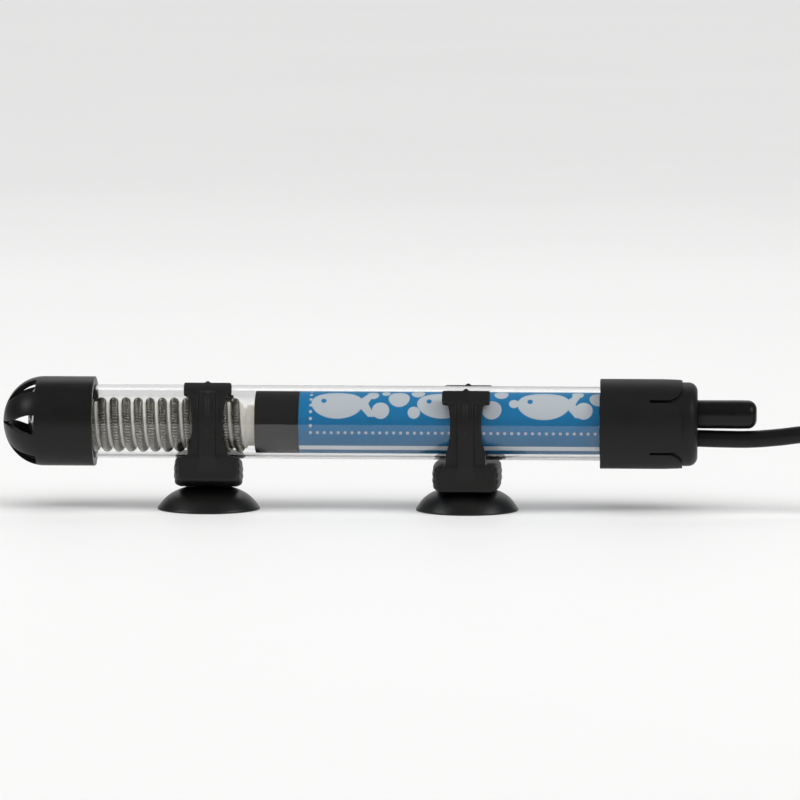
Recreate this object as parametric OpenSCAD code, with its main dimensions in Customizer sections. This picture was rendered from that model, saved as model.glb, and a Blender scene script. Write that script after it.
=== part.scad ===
// Submersible aquarium heater lying on its two suction cups.
// A closed glass tube holds a ceramic core wound with a sprung heating coil, and a bimetal
// thermostat behind a printed sheet. A slotted guard covers the closed end. A collar and a
// rubber bung close the other end, where the temperature knob and the mains cord come out.
// +X runs along the tube towards the knob, +Z is up. The origin is on the surface that the
// heater stands on, under the middle of its length.

/* [Glass tube] */
// Outside diameter of the glass tube
tube_d = 24; // [23.6:0.1:24.4]
// Thickness of the glass
tube_wall = 1.1; // [0.9:0.05:1.2]
// Length of the tube from its closed bottom to its mouth
tube_len = 208; // [206:0.5:209]
// Radius that rounds the closed bottom
tube_corner = 5; // [4:0.5:6]

/* [End guard] */
// Outside diameter of the guard
guard_d = 29.2; // [28:0.1:29.4]
// Length of the guard from its nose to its rim
guard_len = 30; // [28:0.5:32]
// How deep the domed nose is
guard_dome = 13.4; // [12:0.2:14]
// Thickness of the guard's shell
guard_wall = 1.7; // [1.4:0.1:1.8]
// Number of water slots in the dome
guard_slots = 6; // [5:1:7]
// Width of a slot at its square end
slot_w = 6.2; // [4:0.2:7]

/* [Head] */
// Outside diameter of the collar that holds the bung
collar_d = 29.2; // [28.4:0.1:29.4]
// Distance from the guard's nose to the collar's rim
collar_start = 194.8; // [194:0.2:196]
// Length of the collar
collar_len = 26.6; // [26:0.1:27]
// Number of petals at the end of the collar
petals = 5; // [4:1:6]
// Width of the slit between two petals
petal_slit = 1; // [0.6:0.1:1.6]
// Outside diameter of the bung where it shows past the petals
bung_d = 27.2; // [26.8:0.1:27.4]

/* [Knob] */
// Diameter of the temperature knob
knob_d = 9.3; // [8.5:0.1:9.4]
// How far the knob stands out of the bung
knob_len = 19.2; // [14:0.1:24]
// Height of the knob's axis above the tube's axis
knob_rise = 3.25; // [3.2:0.05:3.6]
// Diameter of the steel spindle
spindle_d = 4; // [3:0.5:4.5]

/* [Cord and plug] */
// Diameter of the round mains cord
cord_d = 5.6; // [5:0.1:5.8]
// Depth of the cord's axis below the tube's axis
cord_drop = 4.6; // [4.4:0.1:4.8]
// Distance between the plug's two pins
pin_spacing = 18.6; // [17:0.1:19]
// Diameter of a plug pin
pin_d = 4; // [3.5:0.1:4.8]

/* [Clips and suction cups] */
// Place of the left clip along X
left_clip_x = -55.7; // [-60:0.1:-50]
// Place of the right clip along X
right_clip_x = 28.7; // [20:0.1:36]
// Height of the tube's axis above the surface
axis_h = 28.5; // [28.3:0.1:29]
// How far up its sides a clip's arms reach, in degrees above level
arm_reach = 52; // [48:1:54]
// How far the left clip's arms are turned round the tube, near side upwards, in degrees
left_clip_turn = 14; // [0:1:14]
// Length of the clip's base along the tube
base_len = 21.4; // [20:0.1:24]
// Width of the clip's base across the tube
base_w = 28.4; // [27.5:0.1:29]
// Height of the clip's base
base_h = 8.4; // [8:0.1:8.6]
// Width of a T-shaped arm tip
tip_len = 15.6; // [13:0.1:17]
// Diameter of a suction cup's rim
cup_d = 33.4; // [30:0.1:35]
// Depth of the hollow under a suction cup
cup_hollow = 3.6; // [2.5:0.1:3.8]

/* [Heating element] */
// Outside diameter of the wound coil
coil_d = 18; // [17:0.1:19]
// Diameter of the sprung wire bundle
bundle_d = 3.1; // [2.4:0.1:3.3]
// Distance from one turn to the next
coil_pitch = 3.95; // [3.8:0.05:4.2]
// Number of turns
coil_turns = 14; // [10:1:14]
// How far the core rests below the tube's axis
core_drop = 1.1; // [0:0.1:1.3]

/* [Thermostat] */
// Length of the bimetal strip that is free to bend
bimetal_len = 54; // [50:1:56]
// Length of the contact arm that is free to bend
arm_len = 62; // [60:1:63]

/* [Hidden] */
$fn = 64;

fit = 0.05;             // radial clearance of parts that slide or turn on each other
loose = 0.3;            // gap between parts that only pass near each other
tube_r = tube_d / 2;
bore_r = tube_r - tube_wall;
tube_start = 8.8;       // from the guard's nose to the bottom of the glass
tube_end = tube_start + tube_len;
bung_face = collar_start + 31.5;
heater_len = bung_face + knob_len;
sheet_r = 10.1;         // outside radius of the printed sheet and the black sleeve
sheet_wall = 0.35;

// Stations of the parts inside, from the guard's nose
core_start = 20;
core_neck = 79.4;       // where the core steps down to its plain end
core_end = 82.5;
core_r = coil_d / 2 - bundle_d - loose / 2;
core_neck_r = 6.7;
core_bore_r = 1.2;
lead_r = 0.45;
back_lead = core_neck_r + 1.4;
coil_start = 22.3;
sleeve_start = 82.75;
sheet_start = 97.1;
sheet_end = 196.5;
clamp_start = 104;
clamp_end = 116;
board_end = 192;

// Heights of the thermostat's layers, from the tube's axis
board_z = [-8, -6.6];
bimetal_z = [-4.9, -4.1];
arm_z = [-0.2, 0.2];
clamp_top = 2.2;
board_w = 10.4;
strip_w = 7;
screw_r = 1.5;
clamp_w = 9;
rivet_r = 1;
rivet_gap = 5;
contact_at = 50;        // from the clamp's face to the contacts

seal_at = [205, 213];   // stations of the two seals in the bung
seal_thick = 1.4;
core_gap = 1.3;         // from the cord's axis to each core's axis

// The cord's way from inside the bung to the start of the hank
cord_z = axis_h - cord_drop;
cord_route = [
    [84, 0, cord_z], [94, 0, cord_z], [103.5, 0, cord_z], [112, 0, 23.7], [121, 0, 23.7],
    [130, 0, 24.4], [139, 0, 25.4], [147, -0.6, 25.2], [155, -2.6, 22.8], [163, -5.8, 18.6],
    [171, -10, 13.8], [179, -14.4, 9.4], [186, -18, 6.3], [193, -20.8, 4.4], [200, -22.4, 3.6]
];
cord_inner_end = 84;
tail_route = [[237, -3, 14.8], [243, -2, 16.6], [250, -1, 18.6], [257, 0, 19.7]];

// The hank: loops at both ends with a waist between them, held by a tie
hank_mid = [231, 0];
hank_loop_x = 31;       // from the middle to the centre of an end loop
hank_loop_r = 4.5 * cord_d;
hank_waist = 2 * cord_d;
hank_floor = 0.8;       // room under the hank for the tie
hank_h = 2 * cord_d;
tie_w = 4;
tie_wall = 0.7;
plug_at = [257, 0, 19.7];
plug_len = 34;
plug_w = 34;
plug_h = 13.6;
pin_len = 19;

// Puts children on the tube's axis at a station, with their +Z along +X and their +X down
module on_tube(station, up = 0, across = 0) {
    translate([station - heater_len / 2, across, axis_h + up]) rotate([0, 90, 0]) children();
}

// Puts children on the tube's axis at a station, upright
module inside(station) {
    translate([station - heater_len / 2, 0, axis_h]) children();
}

// A ring or sleeve along +Z
module ring(outer_r, inner_r, h) {
    difference() {
        cylinder(r = outer_r, h = h);
        translate([0, 0, -1]) cylinder(r = inner_r, h = h + 2);
    }
}

// A block from its X range, its full width in Y and its Z range
module slab(x, w, z) {
    translate([x[0], -w / 2, z[0]]) cube([x[1] - x[0], w, z[1] - z[0]]);
}

// Cuts a flat outline, X along the tube and Y around it, through a shell at an angle
module radial_cut(angle, from_r, to_r) {
    rotate([0, 0, angle]) translate([from_r, 0, 0]) rotate([0, 90, 0]) mirror([1, 0, 0])
        linear_extrude(to_r - from_r) children();
}

// A unit vector
function unit(v) = v / norm(v);

// Direction of a route at one of its points
function heading(route, i) =
    unit(route[min(i + 1, len(route) - 1)] - route[max(i - 1, 0)]);

// One ring of points square to the route
function ring_points(route, i, r, sides) =
    let (along = heading(route, i), side = unit(cross([0, 0, 1], along)),
         up = cross(along, side))
    [for (k = [0:sides - 1]) route[i] + r * (cos(360 * k / sides) * side
        + sin(360 * k / sides) * up)];

// A round tube swept along a route
module swept(route, r, sides) {
    rings = len(route);
    points = [for (i = [0:rings - 1]) each ring_points(route, i, r, sides)];
    walls = [for (i = [0:rings - 2], k = [0:sides - 1])
        let (n = (k + 1) % sides, a = i * sides, b = a + sides)
        each [[a + k, b + k, a + n], [a + n, b + k, b + n]]];
    first = [for (k = [0:sides - 1]) k];
    last = [for (k = [sides - 1:-1:0]) (rings - 1) * sides + k];
    polyhedron(points, concat(walls, [first, last]));
}

// ---- Glass tube and guard ----

// Outline of a round-bottomed cylinder, to be turned about its axis
module round_bottom(r, length, corner) {
    square([r - corner, length]);
    translate([0, corner]) square([r, length - corner]);
    translate([r - corner, corner]) circle(corner);
}

module glass_tube() {
    color("lightcyan", 0.4) on_tube(tube_start) rotate_extrude() difference() {
        round_bottom(tube_r, tube_len, tube_corner);
        translate([0, tube_wall])
            round_bottom(bore_r, tube_len, tube_corner - tube_wall);
    }
}

// Outline of a dome that runs into a cylinder
module dome(r, depth, length) {
    polygon(concat(
        [for (a = [0:6:90]) [r * sin(a), depth * (1 - cos(a))]], [[r, length], [0, length]]
    ));
}

// Outline of one water slot: narrow where it starts near the nose, square at its end
module slot_outline() {
    slot_end = 11.2;
    half = slot_w / 2;
    polygon([
        [-1, 0.4], [1.6, 0.4], [3.2, 0.2 * half + 0.4], [5.2, 0.62 * half], [7.4, 0.86 * half],
        [9.4, half], [slot_end, half], [slot_end, -half], [9.4, -half], [7.4, -0.86 * half],
        [5.2, -0.62 * half], [3.2, -0.2 * half - 0.4], [1.6, -0.4], [-1, -0.4]
    ]);
}

module end_guard() {
    grip_start = 22;
    nose_r = 1.7;
    color("#1c1c1c") on_tube(0) difference() {
        rotate_extrude() difference() {
            dome(guard_d / 2, guard_dome, guard_len);
            translate([0, guard_wall])
                dome(guard_d / 2 - guard_wall, guard_dome - guard_wall, grip_start);
            translate([0, grip_start]) square([tube_r + fit, guard_len]);
        }
        for (i = [0:guard_slots - 1])
            radial_cut(-90 + 360 * i / guard_slots, nose_r, guard_d) slot_outline();
    }
}

// Pad of mineral wool between the glass and the core
module wool_pad() {
    pad_start = 10.4;
    pad_h = 6.4;
    round_r = 11.5;     // rounds the pad's front edge to the bottom of the glass
    round_mid = 8;
    color("ivory") on_tube(pad_start) intersection() {
        cylinder(r = bore_r - loose, h = pad_h);
        translate([0, 0, round_mid]) sphere(round_r);
    }
}

// ---- Heating element ----

module ceramic_core() {
    color("#e6e2d6") on_tube(core_start, -core_drop) difference() {
        union() {
            cylinder(r = core_r, h = core_end - core_start);
            cylinder(r = core_neck_r, h = coil_start - core_start - bundle_d / 2 - loose);
            translate([0, 0, core_neck - core_start])
                cylinder(r = core_neck_r, h = core_end - core_neck);
        }
        translate([0, 0, -1]) cylinder(r = core_bore_r, h = core_end);
    }
}

// The sprung wire as one round bundle wound on the core
module heating_coil() {
    steps = 20;
    mid_r = (coil_d - bundle_d) / 2;
    route = [for (i = [0:coil_turns * steps]) let (a = 360 * i / steps)
        [mid_r * cos(a), mid_r * sin(a), coil_pitch * i / steps]];
    color("#5a564e") on_tube(coil_start, -core_drop) wound(route, bundle_d / 2, 8);
}

// A tube wound about +Z: its rings stand in planes through the axis
module wound(route, r, sides) {
    rings = len(route);
    points = [for (p = route) let (out = unit([p[0], p[1], 0]))
        each [for (k = [0:sides - 1]) p + r * (cos(360 * k / sides) * out
            + sin(360 * k / sides) * [0, 0, 1])]];
    walls = [for (i = [0:rings - 2], k = [0:sides - 1])
        let (n = (k + 1) % sides, a = i * sides, b = a + sides)
        each [[a + k, b + k, a + n], [a + n, b + k, b + n]]];
    first = [for (k = [0:sides - 1]) k];
    last = [for (k = [sides - 1:-1:0]) (rings - 1) * sides + k];
    polyhedron(points, concat(walls, [first, last]));
}

// Mica discs at the core's two ends, with holes for the leads
module core_end_discs() {
    disc_h = 0.8;
    color("#b9a880") {
        on_tube(core_start - disc_h - fit) difference() {
            cylinder(r = bore_r - loose, h = disc_h);
            translate([core_drop, 0, -1]) cylinder(r = core_bore_r, h = disc_h + 2);
        }
        on_tube(core_end + fit) difference() {
            cylinder(r = sheet_r - sheet_wall - loose, h = disc_h);
            translate([core_drop, 0, -1]) cylinder(r = core_bore_r, h = disc_h + 2);
            translate([0, back_lead, -1]) cylinder(r = 2 * lead_r, h = disc_h + 2);
        }
    }
}

// ---- Sheets inside the glass ----

module heat_sleeve() {
    color("#151515") on_tube(sleeve_start)
        ring(sheet_r, sheet_r - sheet_wall, sheet_start - sleeve_start - fit);
}

module label_sheet() {
    color("#1f6ea3") on_tube(sheet_start)
        ring(sheet_r, sheet_r - sheet_wall, sheet_end - sheet_start);
}

// ---- Thermostat ----

// One lead runs down the core's bore and the other, at the back, joins the coil's near end
module lead_wires() {
    coil_end = coil_start + coil_pitch * coil_turns + bundle_d / 2 + loose;
    color("silver") {
        on_tube(core_start - 2, -core_drop)
            cylinder(r = lead_r, h = clamp_start - core_start + 2 - fit);
        on_tube(coil_end, 0, back_lead) cylinder(r = lead_r, h = clamp_start + 4 - coil_end);
    }
}

module mounting_board() {
    color("#a9793f") inside(0) difference() {
        slab([clamp_start - 6, board_end], board_w, board_z);
        rivet_holes(board_z[0] - 1, 4);
    }
}

// Bores for the two rivets, from a height upward
module rivet_holes(z, h, r = rivet_r + fit / 2) {
    for (side = [-1, 1])
        translate([(clamp_start + clamp_end) / 2, side * rivet_gap / 2, z])
            cylinder(r = r, h = h);
}

// Three insulating blocks that clamp the strip and the arm to the board
module clamp_spacers() {
    layers = [[board_z[1] + fit / 2, bimetal_z[0]], [bimetal_z[0] + fit, arm_z[0]],
        [arm_z[0] + fit, clamp_top]];
    color("#e8e0c8") inside(0) for (z = layers) difference() {
        slab([clamp_start, clamp_end], clamp_w, z);
        rivet_holes(z[0] - 1, z[1] - z[0] + 2);
    }
}

module clamp_rivets() {
    head_r = 1.7;
    head_h = 0.5;
    gap = fit / 2;
    color("goldenrod") inside(0) {
        rivet_holes(board_z[0] - gap, clamp_top - board_z[0] + 2 * gap, rivet_r);
        rivet_holes(board_z[0] - head_h - gap, head_h, head_r);
        rivet_holes(clamp_top + gap, head_h, head_r);
    }
}

module bimetal_strip() {
    color("#9a8f7a") inside(clamp_end + loose) difference() {
        slab([0, bimetal_len], strip_w, bimetal_z);
        translate([contact_at, 0, bimetal_z[0] - 1]) cylinder(r = rivet_r + fit / 2, h = 3);
    }
}

// A contact riveted through a blade: its shank, and its button below or above the blade
module contact(blade_z, button_z) {
    translate([0, 0, blade_z[0] - fit])
        cylinder(r = rivet_r, h = blade_z[1] - blade_z[0] + 2 * fit);
    translate([0, 0, button_z[0]]) cylinder(r = 1.6, h = button_z[1] - button_z[0]);
}

module moving_contact() {
    color("silver") inside(clamp_end + loose + contact_at)
        contact(bimetal_z, [bimetal_z[1] + fit / 2, bimetal_z[1] + 1.4]);
}

// The spring blade that the adjusting nut pushes down at its free end
module contact_arm() {
    color("#c2a24e") inside(clamp_end + loose) difference() {
        union() {
            slab([0, arm_len], strip_w - 1, arm_z);
            slab([arm_len - 2, arm_len], 3, [arm_z[0], 0.8]);
        }
        translate([contact_at, 0, arm_z[0] - 1]) cylinder(r = rivet_r + fit / 2, h = 3);
    }
}

module fixed_contact() {
    color("silver") inside(clamp_end + loose + contact_at)
        contact(arm_z, [arm_z[0] - 1.4, arm_z[0] - fit / 2]);
}

// The magnet that snaps the strip's free end shut
module snap_magnet() {
    magnet_len = 5;
    color("#3a3a3c") inside(clamp_end + loose + bimetal_len - magnet_len)
        slab([0, magnet_len], 5, [board_z[1] + fit / 2, -5.9]);
}

// A nut that the screw drives along by its thread of 0.5 mm pitch, with a nose over the arm
module adjusting_nut() {
    nut_start = 176;
    nut_len = 10;
    nut_w = 7.4;
    nut_z = [1.25, knob_rise + 3.3];
    rib_h = 1;          // rib along the nut's back that keeps it from turning
    rib_w = 3;
    color("goldenrod") inside(nut_start) difference() {
        union() {
            slab([0, nut_len], nut_w, nut_z);
            slab([2, nut_len - 2], rib_w, [knob_rise, nut_z[1] + rib_h]);
        }
        translate([-1, 0, knob_rise]) rotate([0, 90, 0])
            cylinder(r = screw_r + fit, h = nut_len + 2);
    }
}

// The screw that moves the nut, a collar that stops it, and the shaft up to the knob
module adjusting_spindle() {
    screw_start = 172;
    screw_len = 20;
    color("lightgray") on_tube(screw_start, knob_rise) {
        cylinder(r = screw_r, h = screw_len);
        translate([0, 0, screw_len]) cylinder(r = spindle_d / 2 + 1, h = 1.2);
        translate([0, 0, screw_len + 1])
            cylinder(r = spindle_d / 2, h = heater_len - 6 - screw_start - screw_len);
    }
}

// ---- Head ----

// Two O-rings round the spindle
module spindle_seals() {
    color("#303030") for (s = seal_at) on_tube(s, knob_rise) rotate_extrude()
        translate([spindle_d / 2 + fit / 2 + seal_thick / 2, 0]) circle(seal_thick / 2, $fn = 24);
}

module temperature_knob() {
    end_r = 2;
    length = knob_len - loose;
    color("#1a1a1a") on_tube(bung_face + loose, knob_rise) difference() {
        rotate_extrude() {
            square([knob_d / 2 - end_r, length]);
            square([knob_d / 2, length - end_r]);
            translate([knob_d / 2 - end_r, length - end_r]) circle(end_r);
        }
        translate([0, 0, -1]) cylinder(r = spindle_d / 2 + fit / 2, h = knob_len - 4);
    }
}

// The rubber bung: a plug in the tube's mouth and a nose past the collar's petals
module sealing_bung() {
    nose_start = tube_end + fit;
    nose_corner = 3;
    plug_start = 198;
    core_bore = 0.95;
    color("#1f1f1f") difference() {
        union() {
            on_tube(plug_start) cylinder(r = bore_r - fit / 2, h = tube_end - plug_start + 1);
            on_tube(nose_start) rotate_extrude() {
                square([bung_d / 2 - nose_corner, bung_face - nose_start]);
                square([bung_d / 2, bung_face - nose_start - nose_corner]);
                translate([bung_d / 2 - nose_corner, bung_face - nose_start - nose_corner])
                    circle(nose_corner);
            }
        }
        on_tube(plug_start - 1, knob_rise)
            cylinder(r = spindle_d / 2 + fit, h = bung_face - plug_start + 2);
        for (s = seal_at) on_tube(s - seal_thick / 2 - fit, knob_rise)
            cylinder(r = spindle_d / 2 + seal_thick + 2 * fit, h = seal_thick + 2 * fit);
        translate([cord_inner_end - fit, 0, cord_z]) rotate([0, 90, 0])
            cylinder(r = cord_d / 2 + fit / 2, h = 60);
        for (side = [-1, 1]) on_tube(plug_start - 1, -cord_drop, side * core_gap)
            cylinder(r = core_bore, h = 20);
    }
}

// Outline of the opening between two petals: a slit that flares round their corners
module petal_gap(from, slit_end, tip) {
    corner_w = 6.4;
    half = petal_slit / 2;
    side = [for (a = [0:15:90]) [slit_end + (tip - slit_end) * sin(a),
        half + corner_w * (1 - cos(a))]];
    polygon(concat(
        [[from, half]], side, [[tip + 1, half + corner_w], [tip + 1, -half - corner_w]],
        [for (i = [len(side) - 1:-1:0]) [side[i][0], -side[i][1]]], [[from, -half]]
    ));
}

// The collar grips the glass and its petals close over the bung
module head_collar() {
    slit_from = collar_start + 16.1;
    slit_end = collar_start + 21.6;
    tip = collar_start + collar_len + 0.1;  // just past the rim, so that no corner lies on it
    color("#222222") difference() {
        on_tube(collar_start) cylinder(r = collar_d / 2, h = collar_len);
        on_tube(collar_start - 1) cylinder(r = tube_r + fit, h = collar_len + 2);
        on_tube(tube_end) cylinder(r = bung_d / 2 + fit / 2, h = collar_len);
        on_tube(0) for (i = [0:petals - 1])
            radial_cut(-90 + 360 * (i + 0.5) / petals, tube_r - 1, collar_d)
                petal_gap(slit_from, slit_end, tip);
    }
}

// ---- Wires from the cord ----

module cord_cores() {
    core_r_out = 0.8;
    color("sienna") for (side = [-1, 1]) swept([
        for (p = [[cord_inner_end + heater_len / 2 - fit, core_gap, -cord_drop],
            [203, core_gap, -cord_drop], [197.5, core_gap, -cord_drop], [193, 2.4, -4.2],
            [188, 4.9, -3.3], [183, 7, -2.4], [177, 7.9, -2], [160, 8, -2], [140, 8, -2],
            [124, 8, -2], [118.2, 7.6, -2]])
            [p[0] - heater_len / 2, side * p[1], axis_h + p[2]]
    ], core_r_out, 8);
}

// Crimped terminals that join the cores to the clamp
module crimp_terminals() {
    barrel_at = 7.6;    // from the tube's axis out to a barrel
    barrel_len = 8;
    tab = [0.8, 1.86, 5];
    tab_from = 1.2;     // from the barrel's axis, inside its wall
    color("silver") inside(clamp_end - 6) for (side = [-1, 1])
        translate([0, side * barrel_at, -2]) rotate([0, 90, 0]) {
            ring(1.5, 0.5, barrel_len);
            translate([-tab[0] / 2, side > 0 ? -tab_from - tab[1] : tab_from, 0]) cube(tab);
        }
}

// ---- Clips and suction cups ----

arm_inner = tube_r + fit;
arm_outer = tube_r + 2;
base_top = 12.8;        // from the tube's axis down to the top of a clip's base
stem_r = 3;
head_r = 5.4;
head_h = 2.4;
socket_wall = 1.7;      // thickness of the base under the cup's head

// The region above the arms, from an angle above level that a turn raises on the near side
module open_above(angle, turn) {
    near = 2 * tube_d * [-cos(angle + turn), sin(angle + turn)];
    far = 2 * tube_d * [cos(angle - turn), sin(angle - turn)];
    polygon([[0, 0], far, [0, 3 * tube_d], near]);
}

// Outline across the tube of the arms and of the saddle between them
module arm_outline(turn) {
    difference() {
        union() {
            circle(arm_outer);
            translate([-arm_outer, -base_top - 1]) square([2 * arm_outer, base_top + 1]);
        }
        circle(arm_inner);
        open_above(arm_reach, turn);
    }
}

// The T-shaped pad at the tip of an arm that reaches up to an angle
module tip_outline(reach_to) {
    pad_from = reach_to - 19;
    pad_r = tube_r + 2.9;
    reach = 1.2 * tube_d;
    intersection() {
        difference() {
            circle(pad_r);
            circle(arm_inner);
        }
        polygon([[0, 0], reach * [cos(pad_from), sin(pad_from)],
            reach * [cos(reach_to), sin(reach_to)]]);
    }
}

// Stretches an outline across the tube along X, centred
module across(length) {
    translate([-length / 2, 0, 0]) rotate([90, 0, 90]) linear_extrude(length) children();
}

module clip(x, turn) {
    arm_w = 13;
    waist_r = 30;
    waist_bite = 1.5;
    rib_w = 5.4;
    rib_out = 1.2;
    rib_reach = 32;     // angle above level where the rib runs out
    grip_r = 1.15;
    grips = 4;
    base_z = [-base_top - base_h, -base_top];
    socket_z = [base_z[0] + socket_wall, base_z[0] + socket_wall + head_h + 2 * loose];
    translate([x, 0, axis_h]) difference() {
        union() {
            difference() {
                across(arm_w) arm_outline(turn);
                for (side = [-1, 1])
                    translate([side * (arm_w / 2 + waist_r - waist_bite), 0, 0])
                        rotate([90, 0, 0]) cylinder(r = waist_r, h = 60, center = true);
            }
            across(tip_len) {
                tip_outline(arm_reach - turn);
                mirror([1, 0]) tip_outline(arm_reach + turn);
            }
            across(rib_w) difference() {
                union() {
                    circle(arm_outer + rib_out);
                    translate([-arm_outer - rib_out, base_z[0] + 3])
                        square([2 * (arm_outer + rib_out), -base_z[0] - 3]);
                }
                circle(arm_inner);
                open_above(rib_reach, turn);
                translate([-tube_r, base_z[0]]) square([tube_d, socket_wall + head_h]);
            }
            slab([-base_len / 2, base_len / 2], base_w, base_z);
            for (side = [-1, 1], i = [0:grips - 1])
                translate([side * (base_len / 2 - 0.5), 0,
                    base_z[0] + base_h * (i + 0.5) / grips])
                    rotate([90, 0, 0]) cylinder(r = grip_r, h = base_w - 3, center = true);
        }
        // Keyhole for the cup's stem and head, open at the back
        translate([0, 0, base_z[0] - 1]) cylinder(r = stem_r + fit, h = socket_wall + 2);
        translate([-stem_r - fit, 0, base_z[0] - 1])
            cube([2 * (stem_r + fit), base_w, socket_wall + 2]);
        translate([0, 0, socket_z[0]])
            cylinder(r = head_r + loose, h = socket_z[1] - socket_z[0]);
        translate([-head_r - loose, 0, socket_z[0]])
            cube([2 * (head_r + loose), base_w, socket_z[1] - socket_z[0]]);
    }
}

module left_clip() color("#202020") clip(left_clip_x, left_clip_turn);
module right_clip() color("#202020") clip(right_clip_x, 0);

// A suction cup: lip, dome, stem and the head that sits in the clip's keyhole
module suction_cup(x, dome_h, neck_r) {
    rim_r = cup_d / 2;
    lip = 0.5;
    bulge = 0.8;
    base_z = axis_h - base_top - base_h;
    hollow_r = rim_r - 1.4;
    sphere_r = (hollow_r * hollow_r + cup_hollow * cup_hollow) / (2 * cup_hollow);
    flank = [for (t = [0:0.1:1]) [rim_r + (neck_r - rim_r) * t + bulge * sin(180 * t),
        lip + (dome_h - lip) * t + bulge * sin(180 * t)]];
    translate([x, 0, 0]) {
        difference() {
            rotate_extrude() polygon(concat([[0, 0], [rim_r - 0.3, 0], [rim_r, 0.2]], flank,
                [[0, dome_h]]));
            translate([0, 0, cup_hollow - sphere_r]) sphere(sphere_r, $fn = 96);
        }
        translate([0, 0, dome_h - 0.5])
            cylinder(r = stem_r, h = base_z + socket_wall + loose - dome_h + 0.6);
        translate([0, 0, base_z + socket_wall + loose]) cylinder(r = head_r, h = head_h);
    }
}

module left_suction_cup() color("#161616") suction_cup(left_clip_x, axis_h - 21.4, 7.4);
module right_suction_cup() color("#161616") suction_cup(right_clip_x, axis_h - 21.6, 8.6);

// ---- Cord, hank and plug ----

module power_cord() color("#141414") {
    swept(cord_route, cord_d / 2, 10);
    swept(tail_route, cord_d / 2, 10);
}

// Points along an arc of a circle
function arc(centre, r, from, to, steps) =
    [for (i = [0:steps]) let (a = from + (to - from) * i / steps)
        centre + r * [cos(a), sin(a)]];

// Outline of the folded hank: two round loops that run into a waist between them
module hank_outline() {
    waist_r = (pow(hank_loop_x, 2) / (hank_loop_r - hank_waist) - hank_loop_r - hank_waist) / 2;
    turn = asin(hank_loop_x / (waist_r + hank_loop_r));
    polygon(concat(
        arc([hank_loop_x, 0], hank_loop_r, -90 - turn, 90 + turn, 24),
        arc([0, hank_waist + waist_r], waist_r, -90 + turn, -90 - turn, 8),
        arc([-hank_loop_x, 0], hank_loop_r, 90 - turn, 270 + turn, 24),
        arc([0, -hank_waist - waist_r], waist_r, 90 + turn, 90 - turn, 8)
    ));
}

module cord_hank() {
    color("#141414") translate([hank_mid[0], hank_mid[1], hank_floor])
        linear_extrude(hank_h) hank_outline();
}

// A flat band that holds the hank's strands together
module hank_tie() {
    inner = [2 * (hank_waist + loose), hank_h + 2 * fit];
    outer = [inner[0] + 2 * tie_wall, inner[1] + 2 * tie_wall];
    color("#101010") translate([hank_mid[0], hank_mid[1], hank_floor + hank_h / 2])
        rotate([90, 0, 90]) linear_extrude(tie_w, center = true) difference() {
            square(outer, center = true);
            square(inner, center = true);
        }
}

// A flat two-pin plug that lies on the hank
module plug_body() {
    neck_len = 8;
    neck_half = 9;      // half the width where the neck runs into the body
    shoulder = 10;      // length over which the body widens
    body_len = plug_len - neck_len;
    color("#161616") translate(plug_at) {
        rotate([0, 90, 0]) cylinder(r = plug_h / 2 - 1, h = neck_len + 2);
        translate([neck_len, 0, 0]) linear_extrude(plug_h, center = true)
            polygon([[0, -neck_half], [shoulder, -plug_w / 2], [body_len, -plug_w / 2],
                [body_len, plug_w / 2], [shoulder, plug_w / 2], [0, neck_half]]);
    }
}

module plug_pins() {
    color("silver") for (side = [-1, 1])
        translate(plug_at + [plug_len, side * pin_spacing / 2, 0]) rotate([0, 90, 0])
            cylinder(r = pin_d / 2, h = pin_len);
}

glass_tube();
end_guard();
wool_pad();
ceramic_core();
heating_coil();
core_end_discs();
heat_sleeve();
label_sheet();
lead_wires();
mounting_board();
clamp_spacers();
clamp_rivets();
bimetal_strip();
moving_contact();
contact_arm();
fixed_contact();
snap_magnet();
adjusting_nut();
adjusting_spindle();
spindle_seals();
temperature_knob();
sealing_bung();
head_collar();
cord_cores();
crimp_terminals();
left_clip();
right_clip();
left_suction_cup();
right_suction_cup();
power_cord();
cord_hank();
hank_tie();
plug_body();
plug_pins();
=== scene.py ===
"""A submersible aquarium heater, lying on its two suction cups with its cord folded away.

The tube's axis runs along X and its closed end points to -X. The stage comes first, then the
cord and its plug, then the heater from the glass outwards. Lengths are in metres.
"""
import math

import bmesh
import bpy
import numpy as np
from mathutils import Matrix, Vector, noise


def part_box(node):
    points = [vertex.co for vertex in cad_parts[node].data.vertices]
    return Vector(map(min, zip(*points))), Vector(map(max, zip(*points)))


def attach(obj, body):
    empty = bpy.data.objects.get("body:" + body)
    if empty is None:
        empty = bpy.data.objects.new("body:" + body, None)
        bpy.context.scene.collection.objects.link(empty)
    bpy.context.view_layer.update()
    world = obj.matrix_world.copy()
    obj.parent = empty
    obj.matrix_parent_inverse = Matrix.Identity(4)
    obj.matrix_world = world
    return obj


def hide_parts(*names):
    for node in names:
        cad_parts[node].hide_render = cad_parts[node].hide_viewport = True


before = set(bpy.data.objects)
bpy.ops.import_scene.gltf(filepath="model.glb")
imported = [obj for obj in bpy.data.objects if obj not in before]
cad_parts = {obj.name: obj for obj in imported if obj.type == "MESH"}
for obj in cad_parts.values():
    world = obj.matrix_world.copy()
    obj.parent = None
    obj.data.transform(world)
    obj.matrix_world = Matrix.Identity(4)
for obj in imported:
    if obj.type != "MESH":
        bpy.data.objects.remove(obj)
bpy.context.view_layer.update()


# ---- Camera ----
# A long lens looks at the heater's front from a little above, turned slightly towards the head.
mm = 0.001
tube_low, tube_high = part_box("glass_tube")
axis_z = (tube_low.z + tube_high.z) / 2
look_at = Vector((6.8 * mm, 0, axis_z + 7.4 * mm))
camera_turn = math.radians(3)
camera_lift = math.radians(5.75)
camera_distance = 2.12

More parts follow.
